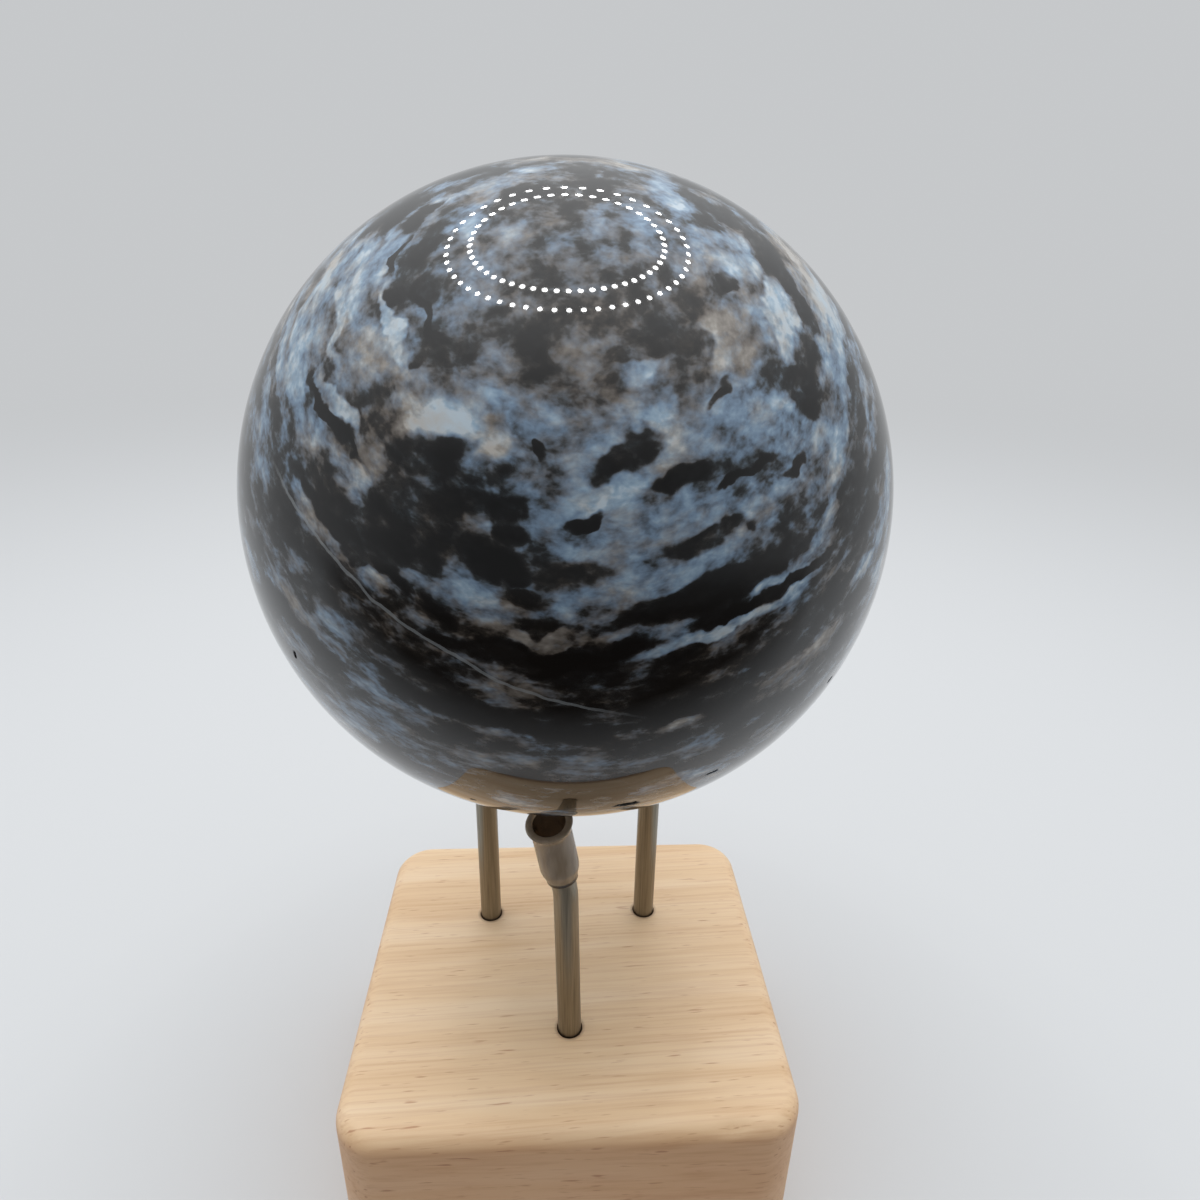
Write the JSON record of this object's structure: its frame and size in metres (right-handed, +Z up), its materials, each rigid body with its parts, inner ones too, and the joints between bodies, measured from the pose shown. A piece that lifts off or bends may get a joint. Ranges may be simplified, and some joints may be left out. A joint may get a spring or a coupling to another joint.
{
  "type": "decorative stone sphere on three-pin stand",
  "caption": "Polished mottled stone sphere resting on the open sleeves of bent steel pins set in a rounded maple block.",
  "frame": {"origin": "on the table under the middle of the sphere, in the plane of the block's underside", "axes": "+Z up through the sphere, -Y towards the front pin, +X to the right seen from the front"},
  "size_m": [0.063, 0.063, 0.1185],
  "materials": {
    "polished_stone": "high polish",
    "maple": "sanded, thin clear coat",
    "steel_rod": "drawn",
    "clear_vinyl": "satin, translucent"
  },
  "bodies": {
    "root": {"stone_sphere": "polished_stone", "maple_block": "maple", "pin_front": "steel_rod", "pin_back_right": "steel_rod", "pin_back_left": "steel_rod", "sleeve_front": "clear_vinyl", "sleeve_back_right": "clear_vinyl", "sleeve_back_left": "clear_vinyl"}
  },
  "joints": []
}
